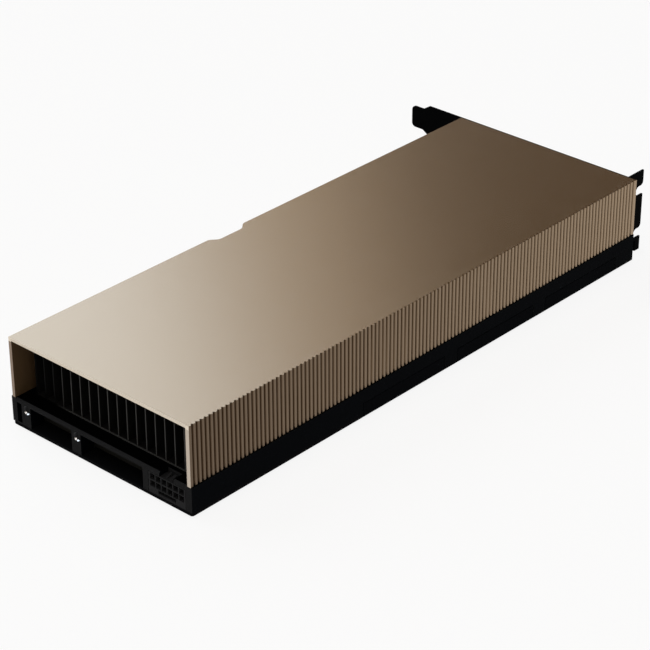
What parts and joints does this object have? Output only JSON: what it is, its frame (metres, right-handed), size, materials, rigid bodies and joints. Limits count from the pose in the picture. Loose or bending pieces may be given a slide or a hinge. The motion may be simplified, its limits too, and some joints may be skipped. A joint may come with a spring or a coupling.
{
  "type": "passive accelerator card",
  "caption": "Full-length two-slot passive accelerator card with a ribbed bronze cover, black frame, finned air duct, power socket and screw bracket.",
  "frame": {"origin": "centre of the backplate's underside, measured over the frame", "axes": "+X towards the bracket, +Y towards the edge connector, +Z from the backplate to the cover"},
  "size_m": [0.2799, 0.1253, 0.0392],
  "materials": {
    "cover_bronze": "satin",
    "frame_black": "satin",
    "insert_steel": "satin",
    "backplate_black": "satin",
    "board_laminate": "satin",
    "contact_gold": "polished",
    "bridge_cap_plastic": "matt",
    "substrate_laminate": "satin",
    "silicon": "polished",
    "stiffener_steel": "satin",
    "paste": "matt",
    "copper": "satin",
    "heat_sink_aluminium": "satin",
    "ferrite": "matt",
    "pad_silicone": "matt",
    "chip_resin": "matt",
    "capacitor_aluminium": "satin",
    "socket_plastic": "satin",
    "bracket_black": "satin",
    "screw_black": "satin"
  },
  "bodies": {
    "root": {"cover": "cover_bronze", "lower_frame": "frame_black", "extender_inserts": "insert_steel", "backplate": "backplate_black", "circuit_board": "board_laminate", "edge_contacts": "contact_gold", "bridge_contacts": "contact_gold", "bridge_covers": "bridge_cap_plastic", "processor_substrate": "substrate_laminate", "processor_die": "silicon", "memory_stacks": "silicon", "package_stiffener": "stiffener_steel", "thermal_paste": "paste", "copper_block": "copper", "heat_sink_base": "heat_sink_aluminium", "heat_sink_fins": "heat_sink_aluminium", "chokes": "ferrite", "choke_pads": "pad_silicone", "power_stages": "chip_resin", "capacitors": "capacitor_aluminium", "control_chips": "chip_resin", "power_socket": "socket_plastic", "power_pins": "contact_gold", "sense_pins": "contact_gold", "io_bracket": "bracket_black", "bracket_screws": "screw_black", "backplate_screws": "screw_black", "cover_screws": "screw_black", "heat_sink_screws": "screw_black"}
  },
  "joints": []
}
